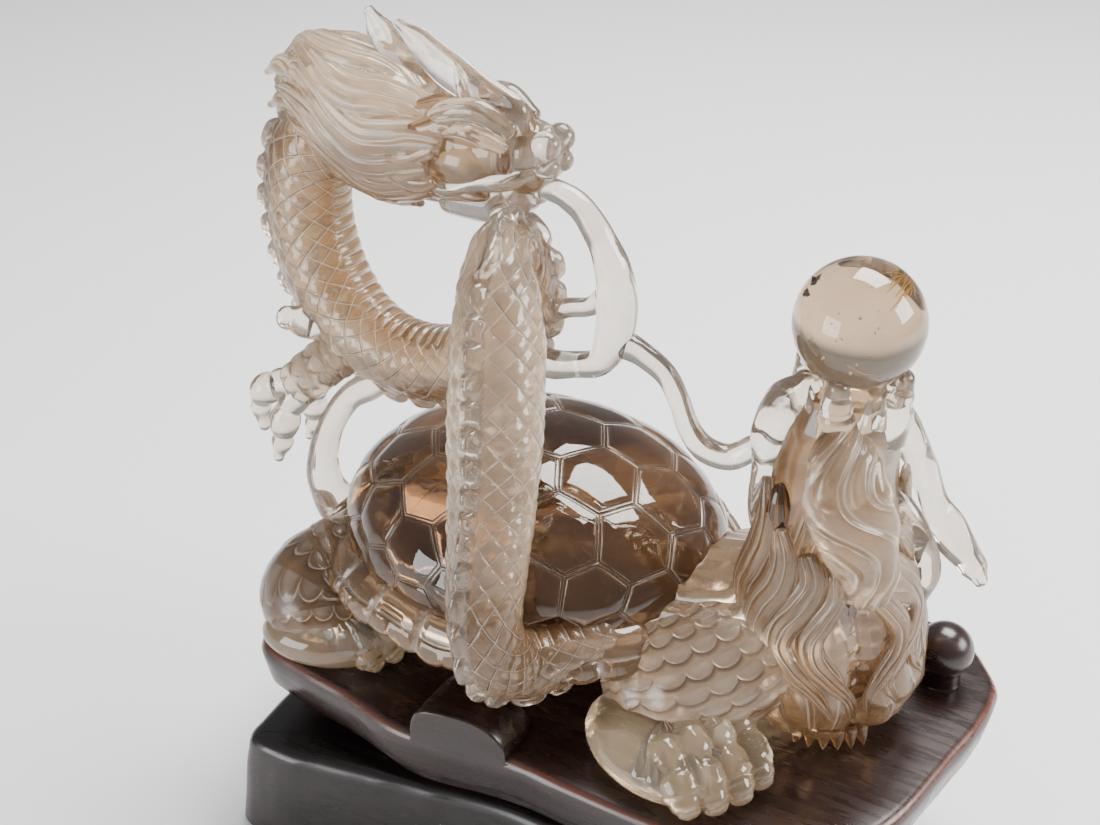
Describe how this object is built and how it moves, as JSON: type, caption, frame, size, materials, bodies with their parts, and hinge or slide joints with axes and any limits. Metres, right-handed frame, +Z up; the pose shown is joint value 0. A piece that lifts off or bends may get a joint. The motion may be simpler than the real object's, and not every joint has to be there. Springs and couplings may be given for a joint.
{
  "type": "quartz dragon turtle carving on a wooden stand",
  "caption": "Clear smoky quartz carving of a dragon turtle with a serpent dragon arching over its shell and a pearl on its mouth, on a two-tier dark wooden stand.",
  "frame": {"origin": "middle of the flat underside of the plinth, which is the height the part stands on", "axes": "+X is the way the turtle faces, along the stand's length; +Y is the far side of the stand, away from the serpent's near coil; +Z is up"},
  "size_m": [0.1616, 0.1039, 0.187],
  "materials": {
    "quartz": "clear smoky quartz, polished shell and feet, frosted scales and hair",
    "rosewood": "dark rosewood, satin gloss with open pores and fine scratches",
    "blackened_wood": "near black stained wood, satin"
  },
  "bodies": {
    "root": {"crystal_carving": "quartz", "stand_tray": "rosewood", "stand_plinth": "blackened_wood"}
  },
  "joints": []
}
